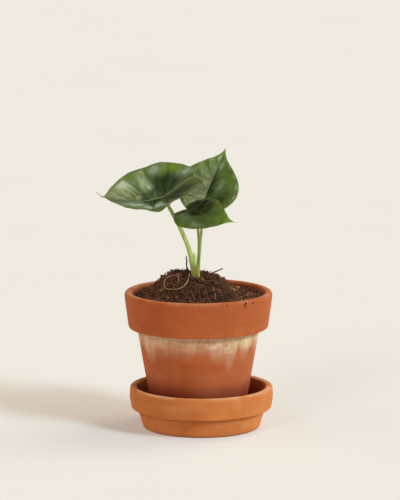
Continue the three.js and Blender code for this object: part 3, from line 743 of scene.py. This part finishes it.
def ball(rings, sides):
    """A rough unit ball as points and faces."""
    tilt = np.pi * np.arange(1, rings + 1) / (rings + 1)
    angle = TURN * np.arange(sides) / sides
    rows = [np.stack([np.sin(t) * np.cos(angle), np.sin(t) * np.sin(angle), np.full(sides, np.cos(t))], -1)
            for t in tilt]
    return skin(np.array(rows), ((0, 0, 1), (0, 0, -1)))


def random_turn(count):
    """A random rotation matrix for each of count things."""
    q = unit(rng.normal(size=(count, 4)))
    w, x, y, z = q.T
    return np.stack([
        1 - 2 * (y * y + z * z), 2 * (x * y - z * w), 2 * (x * z + y * w),
        2 * (x * y + z * w), 1 - 2 * (x * x + z * z), 2 * (y * z - x * w),
        2 * (x * z - y * w), 2 * (y * z + x * w), 1 - 2 * (x * x + y * y)], -1).reshape(-1, 3, 3)


def scattered(count, shape, sizes, turns, places, rough):
    """Many copies of a shape in one mesh, each with its own size, turn, place and dents."""
    points, faces = shape
    dents = 1 + rough * rng.uniform(-1, 1, (count, len(points), 1))
    body = points[None] * dents * sizes[:, None, :]
    body = np.einsum("nij,nkj->nki", turns, body) + places[:, None, :]
    start = len(points) * np.arange(count)
    every = [[index + int(first) for index in face] for first in start for face in faces]
    return body.reshape(-1, 3), every


def on_soil(count, outer):
    """Random places on the soil, evenly over its area, out to a share of its radius."""
    reach = bed_radius() * np.sqrt(rng.uniform(0, outer ** 2, count))
    angle = rng.uniform(0, TURN, count)
    x, y = POT["x"] + reach * np.cos(angle), reach * np.sin(angle)
    return np.stack([x, y, soil_height(x, y)], -1)


def make_crumbs():
    """Crumbs and clods, lighter round the pale chip, and with painted light on those at the soil's left and
    right sides.
    """
    for name, (count, rings, sides, low, high) in CRUMBS.items():
        shape = ball(rings, sides)
        size = low + (high - low) * rng.random((count, 1)) ** 2
        sizes = size * rng.uniform(0.55, 1.0, (count, 3))
        places = on_soil(count, outer=1.0 - high / bed_radius())
        places[:, 2] += 0.3 * size[:, 0]
        points, faces = scattered(count, shape, sizes, random_turn(count), places, 0.36)
        away = (places[:, :2] - PALE_CHIP["at"]) / (6, 34)
        clump = np.exp(-(away ** 2).sum(1))
        # Painted light: crumbs towards the left and right sides are made lighter, against the rim's shadow
        # there.
        dry = smooth((np.abs(places[:, 0] - POT["x"]) - 16) / 24)
        tone = np.clip(rng.random(count) ** 1.5 + 0.6 * clump + 0.75 * dry, 0, 1).repeat(len(shape[0]))
        made = piece(name, points, faces, earth, {"tone": tone}, smooth_shading=False)
        dress(made, "soil")


def make_chips():
    """Flat bark chips and the pale chip that shows at the right."""
    count = CHIPS["count"]
    shape = ball(CHIPS["rings"], CHIPS["sides"])
    flat = np.clip(shape[0] * 1.5, -1, 1)
    sizes = np.stack([rng.uniform(low, high, count) for low, high in CHIPS["sizes"]], -1)
    places = on_soil(count, outer=0.92)
    places[:, 2] += CHIPS["lift"]
    turns = random_turn(count)
    tone = 0.62 * rng.random(count) ** 1.5
    x, y = PALE_CHIP["at"]
    sizes[0], tone[0] = PALE_CHIP["size"], PALE_CHIP["tone"]
    places[0] = x, y, float(soil_height(np.array(x), np.array(y))) + PALE_CHIP["lift"]
    leaning = turned(np.eye(3), (0, 1, 0), PALE_CHIP["lean"])
    turns[0] = turned(leaning, (0, 0, 1), PALE_CHIP["turn"]).T
    points, faces = scattered(count, (flat, shape[1]), sizes, turns, places, 0.12)
    values = {"tone": np.repeat(tone, len(flat))}
    made = piece("soil_chips", points, faces, bark, values)
    dress(made, "soil")


def make_fibres():
    """Thin fibres that lie on the soil, a few of them raised."""
    parts, faces, tones, start = [], [], [], 0
    t = np.linspace(-0.5, 0.5, 5)
    for place in on_soil(FIBRES["count"], outer=0.97):
        length, heading = rng.uniform(*FIBRES["length"]), rng.uniform(0, TURN)
        rise = FIBRES["high_rise"] if rng.random() < FIBRES["high_share"] else FIBRES["rise"]
        bend = rng.uniform(-FIBRES["bend"], FIBRES["bend"])
        x = place[0] + length * t * math.cos(heading) - length * bend * t * t * math.sin(heading)
        y = place[1] + length * t * math.sin(heading) + length * bend * t * t * math.cos(heading)
        inside = np.hypot(x - POT["x"], y) < bed_radius() - 1
        if not inside.all():
            continue
        z = soil_height(x, y) + FIBRES["lift"] + rng.uniform(-0.5, 1, 5) * rise
        radii = rng.uniform(*FIBRES["radius"]) * np.array([0.7, 1, 0.5])
        rings, _ = stem(np.stack([x, y, z], -1), radii, FIBRES["sides"], FIBRES["steps"])
        solid, quads = skin(rings, (rings[0].mean(0), rings[-1].mean(0)))
        parts.append(solid)
        faces += [[index + start for index in face] for face in quads]
        tones.append(np.full(len(solid), rng.random() ** 0.8))
        start += len(solid)
    points = np.vstack(parts)
    values = {"tone": np.concatenate(tones) * 0.7}
    made = piece("soil_fibres", points, faces, bark, values)
    dress(made, "soil")


def make_rim_dirt():
    """Specks of earth that stick to the rim band."""
    count = len(RIM_DIRT)
    angle, height, size = np.array(RIM_DIRT, float).T
    angle = np.radians(angle)
    radius = POT["band_radius"] - 0.1
    places = np.stack([POT["x"] + radius * np.cos(angle), radius * np.sin(angle), POT["z"] + height], -1)
    sizes = size[:, None] * (1, 1, 0.7)
    points, faces = scattered(count, ball(3, 6), sizes, random_turn(count), places, 0.2)
    values = {"tone": np.full(len(points), 0.25)}
    made = piece("rim_dirt", points, faces, earth, values)
    dress(made, "soil")


# Leaves

def half_outline(leaf, half):
    """Margin of one half from the tip to the notch, in the blade's own plane."""
    def widen(u):
        return leaf["tip_width"] * (0.3 if u > 0.9 else 1 if u > 0.7 else 0.6 if u > 0.5 else 0)
    notch = -(leaf["joined"] + 0.97) / 2 - 0.1 * (1 - leaf["joined"])
    shares = [(u, v + widen(u) if v else 0) for u, v in TIP] + LOBE + [(notch, 0.17), (-leaf["joined"], 0)]
    line = spline(shares, BLADE["rays"] + 1)
    along, across = line[:, 0], np.maximum(line[:, 1], 0)
    wave = leaf["wave"]
    swell = 1 + wave["swell"] * np.exp(-(((along - wave["at"]) / wave["span"]) ** 2)) if half == 0 else 1
    u = np.where(along > 0, along * leaf["length"], along * leaf["lobe"])
    return np.stack([u, across * leaf["half_width"] * leaf["widths"][half] * swell], -1)


def blade_point(leaf, u, v):
    """Points of a blade's middle surface, as on its solid but for the nudges: v is above 0 at the left."""
    def rate(angle, length):
        return np.radians(np.where(np.abs(angle) < 0.01, 0.01, angle)) / length
    u, v = np.asarray(u, float), np.asarray(v, float)
    half, away = np.where(v >= 0, 0, 1), np.abs(v)
    kink = math.radians(leaf["kink"])
    ahead, behind = np.maximum(u, 0), np.maximum(-u, 0)
    arch_a, arch_b = rate(leaf["arch"], leaf["length"]), rate(leaf["lobe_arch"], leaf["lobe"])
    angle_a, angle_b = arch_a * ahead, kink + arch_b * behind
    along_x = np.sin(angle_a) / arch_a - (np.sin(angle_b) - math.sin(kink)) / arch_b
    along_z = (1 - np.cos(angle_a)) / arch_a + (math.cos(kink) - np.cos(angle_b)) / arch_b
    blend = 0.5 + 0.5 * np.tanh(-u / (BLADE["kink_span"] * leaf["half_width"]))
    tilt = np.where(u >= 0, angle_a, kink - angle_b) - kink * blend
    share = np.minimum(behind / leaf["lobe"], 1)
    fold = np.radians(np.array(leaf["fold"])[half] + np.array(leaf["lobe_fold"])[half] * share)
    curl = rate(np.array(leaf["curl"])[half], leaf["half_width"])
    across = (np.sin(fold + curl * away) - np.sin(fold)) / curl
    rise = (np.cos(fold) - np.cos(fold + curl * away)) / curl
    along = np.where(u >= 0, u / leaf["length"], u / leaf["lobe"])
    wave = leaf["wave"]
    droop = wave["drop"] * np.exp(-(((along - wave["at"]) / wave["span"]) ** 2))
    rise = rise + np.where(half == 0, droop * (away / leaf["half_width"]) ** 2, 0)
    flat = np.stack([along_x - rise * np.sin(tilt), np.where(half == 0, across, -across),
                     along_z + rise * np.cos(tilt)], -1)
    shape = flat.shape
    points = flat.reshape(-1, 3)
    for axis, key in (((1, 0, 0), "roll"), ((0, -1, 0), "pitch"), ((0, 0, 1), "yaw")):
        points = turned(points, axis, leaf[key])
    points = points.reshape(shape) + leaf["at"]
    for at_u, at_v, long, wide, shift in leaf["nudges"]:
        near = np.exp(-(((u - at_u) / long) ** 2) - ((v - at_v) / wide) ** 2)
        points = points + near[..., None] * shift
    return points


def blade_normal(leaf, u, v, step):
    """The side that a blade's upper face looks to, judged over a step each way."""
    ahead = blade_point(leaf, u + step, v) - blade_point(leaf, u - step, v)
    across = blade_point(leaf, u, v + step) - blade_point(leaf, u, v - step)
    return unit(np.cross(ahead, across))


def to_line(u, v, way):
    """Distance from each point to a line, and the share along it of the nearest place."""
    best = np.full(u.shape, 1e9)
    share = np.zeros(u.shape)
    for k, (a, b) in enumerate(zip(way, way[1:])):
        side = b - a
        t = np.clip(((u - a[0]) * side[0] + (v - a[1]) * side[1]) / (side @ side), 0, 1)
        away = np.hypot(u - a[0] - t * side[0], v - a[1] - t * side[1])
        share = np.where(away < best, (k + t) / (len(way) - 1), share)
        best = np.minimum(best, away)
    return best, share


def blade_pattern(leaf, u, v, margin_gap):
    """Values that colour the blade, and its bulge between the veins, at places of the blade."""
    half_width = leaf["half_width"]
    size = leaf["length"] / 60
    away = np.abs(v)
    along = np.clip(u / leaf["length"], 0, 1)
    rib_width = (RIB_BAND[0] * (1 - along) + RIB_BAND[1] * along) * size
    rib = np.where(u > 0, away, np.hypot(u, away))
    band = np.exp(-0.7 * (rib / rib_width) ** 2)
    vein = 0.9 * np.exp(-((rib / VEIN_LINE) ** 2)) * (1 - 0.7 * along)
    suture = np.where((u < 0) & (u > -leaf["joined"] * leaf["lobe"]), away, 99)
    vein = np.maximum(vein, 0.75 * np.exp(-((suture / VEIN_LINE) ** 2)))
    nearest = np.minimum(rib, suture)
    for entry in VEINS:
        line = spline(entry["way"], 13)
        line = np.stack([line[:, 0] * np.where(line[:, 0] > 0, leaf["length"], leaf["lobe"]),
                         line[:, 1] * half_width], -1)
        gap, share = to_line(u, away, line)
        width = (entry["band"][0] * (1 - share) + entry["band"][1] * share) * size
        clear = entry["clear"]
        band = np.maximum(band, clear * np.exp(-0.7 * (gap / width) ** 2) * (1 - 0.3 * share))
        fading = 0.4 * clear * (1 - share) ** 1.5
        vein = np.maximum(vein, fading * np.exp(-((gap / (0.8 * VEIN_LINE)) ** 2)))
        nearest = np.minimum(nearest, gap)
    bulge = 1 - np.exp(-((nearest / BLADE["bulge_reach"]) ** 2))
    margin = np.exp(-((margin_gap / 0.55) ** 2))
    green = smooth(0.9 - margin_gap / 5) * 0.75
    green = np.maximum(green, smooth((u / leaf["length"] - 0.86) / 0.12))
    values = {
        "band": leaf["veins"] * smooth(margin_gap / 1.2) * band, "vein": leaf["veins"] * vein,
        "margin": margin, "green": green, "bulge": bulge * smooth(margin_gap / 4),
        "tip": 0.9 * smooth((u / leaf["length"] - leaf["tip_green"]) / 0.16),
        "shade": 0 * u, "silver_and_painted_highlight": 0 * u, "deep": 0 * u,
    }
    for key, at_u, at_v, long, wide, amount in leaf["patches"]:
        patch = amount * np.exp(-(((u - at_u) / long) ** 2) - ((v - at_v) / wide) ** 2)
        values[key] = np.clip(np.maximum(values[key], patch), 0, 1)
    return values


def make_blade(name, leaf, finish):
    left, right = half_outline(leaf, 0), half_outline(leaf, 1) * (1, -1)
    margin = np.vstack([left, right[1:-1][::-1]])
    shares = np.linspace(0, 1, BLADE["rings"] + 1)[1:, None]
    u, v = shares * margin[:, 0], shares * margin[:, 1]
    gap = (1 - shares) * np.hypot(*margin.T)
    values = blade_pattern(leaf, u, v, gap)
    normals = blade_normal(leaf, u, v, 0.6)
    waves = 0.6 * noise(u / 9 + 5, v / 9 + 3) + 0.26 * noise(u / 4 + 2, v / 4 + 8)
    relief = BLADE["bulge"] * values.pop("bulge") + waves * smooth(np.hypot(u, v) / 12)
    thick, thin = BLADE["thickness"] / 2, BLADE["edge_thickness"] / 2
    half = thin + (thick - thin) * smooth(gap / 3)
    rib = BLADE["rib_depth"] * np.exp(-((v / BLADE["rib_width"]) ** 2)) * (1 - shares ** 2)
    middle = blade_point(leaf, u, v)
    top = middle + normals * (relief + half)[..., None]
    below = middle + normals * (relief - half - rib)[..., None]
    centre, up = np.array(leaf["at"]), blade_normal(leaf, 0, 0, 1.5)
    poles = (centre + up * thick, centre - up * (thick + BLADE["rib_depth"]))
    solid, faces = skin(np.concatenate([top, below[::-1]]), poles)
    whole = {key: np.concatenate([value, value[::-1]]).ravel() for key, value in values.items()}
    whole = {key: np.append(value, [1.0 if key == "vein" else 0.0] * 2) for key, value in whole.items()}
    under = np.concatenate([np.zeros(u.size), np.ones(u.size), [0, 1]])
    made = piece(f"leaf_{name}", solid, faces, finish, {**whole, "under": under})
    dress(made, "leaf", f"blade_{name}")


def stem_piece(name, way, radii, sides, steps, finish, values=None, uneven=0.0):
    """A round stem as one piece; values is a function of its points, and uneven roughens its radius."""
    rings, line = stem(way, radii, sides, steps)
    if uneven:
        x, y, z = rings[..., 0], rings[..., 1], rings[..., 2]
        swell = 1 + uneven * noise(z / 1.7 + x, y / 1.7 + z / 3)
        rings = line[:, None] + (rings - line[:, None]) * swell[..., None]
    solid, faces = skin(rings, (line[0], line[-1]))
    return piece(name, solid, faces, finish, values and values(solid))


def make_stalk(name, leaf, finish):
    up = blade_normal(leaf, 0, 0, 1.5)
    end = np.array(leaf["at"]) - up * 0.4
    approach = np.array(leaf["at"]) - up * (BLADE["boss_depth"] + 3.3)
    way = [*leaf["way"], approach, end]

    def values(solid):
        shaded = 0.5 * smooth((solid[:, 2] - 142) / 12) if name != "left" else 0 * solid[:, 2]
        return {"foot": smooth((150 - solid[:, 2]) / 18), "pale": 0 * solid[:, 2], "shaded": shaded}

    made = stem_piece(f"stalk_{name}", way, leaf["radii"], 24, 90, finish, values)
    dress(made, "stalk", f"petiole_{name}")


def make_sheath(finish):
    """Pale sheath that closes the fork between the stalks, down into the soil."""
    z, middle, wide, deep = spline(SHEATH, 40).T
    angle = TURN * np.arange(24) / 24
    rings = np.stack([middle[:, None] + wide[:, None] * np.cos(angle), deep[:, None] * np.sin(angle),
                      z[:, None] + 0 * angle], -1)
    solid, faces = skin(rings, (rings[0].mean(0), rings[-1].mean(0)))
    values = {"foot": smooth((146 - solid[:, 2]) / 14), "pale": 0.7 * smooth((solid[:, 2] - 142) / 8),
              "shaded": 0 * solid[:, 2]}
    made = piece("stalk_sheath", solid, faces, finish, values)
    dress(made, "stalk", "petiole_left")


def make_thread(leaf):
    """Dry thread at the left leaf's tip."""
    tip = blade_point(leaf, leaf["length"], 0)
    root = blade_point(leaf, leaf["length"] * TIP_THREAD["rooted"], 0)
    end = tip + TIP_THREAD["length"] * np.array(TIP_THREAD["direction"])
    middle = (tip + end) / 2 + np.array([0.2, 0, 0.35])
    radii = TIP_THREAD["radius"] * np.array([1, 1, 0.8, 0.4])
    dry = root_finish("tip_thread", colour(150, 126, 84), colour(196, 172, 130))
    made = stem_piece("leaf_tip_thread", [root, tip, middle, end], radii, 8, 20, dry, uneven=0.2)
    dress(made, "leaf", "blade_left")


def make_roots():
    dark = root_finish("dead_root", colour(38, 27, 20), colour(84, 62, 44))
    for name, root in ROOTS.items():
        made = stem_piece(f"{name}_dry", root["way"], root["radii"], 12, 40, dark, uneven=0.25)
        dress(made, "dead_root", name)
    x, y = np.array(PALE_ROOT["way"], float).T
    way = np.stack([x, y, soil_height(x, y) + PALE_ROOT["lift"]], -1)
    ends = way[[0, -1]] - (0, 0, PALE_ROOT["buried"])
    way = np.vstack([ends[:1], way, ends[1:]])
    pale = root_finish("pale_root", colour(150, 108, 74), colour(196, 154, 116))
    radius = PALE_ROOT["radius"]
    made = stem_piece("root_pale_dry", way, (radius, radius), 8, 110, pale, uneven=0.25)
    dress(made, "pale_root", "root_pale")


# Assembly
make_camera()
make_floor()
make_light()
make_saucer()
make_pot()
earth = soil_finish("soil_earth", EARTH_TONES)
bark = soil_finish("soil_bark", BARK_TONES)
make_bed()
make_crumbs()
make_chips()
make_fibres()
make_rim_dirt()
leaf_look, stalk_look = leaf_finish(), stalk_finish()
for leaf_name, leaf_sizes in LEAVES.items():
    make_blade(leaf_name, leaf_sizes, leaf_look)
    make_stalk(leaf_name, leaf_sizes, stalk_look)
make_sheath(stalk_look)
make_thread(LEAVES["left"])
make_roots()
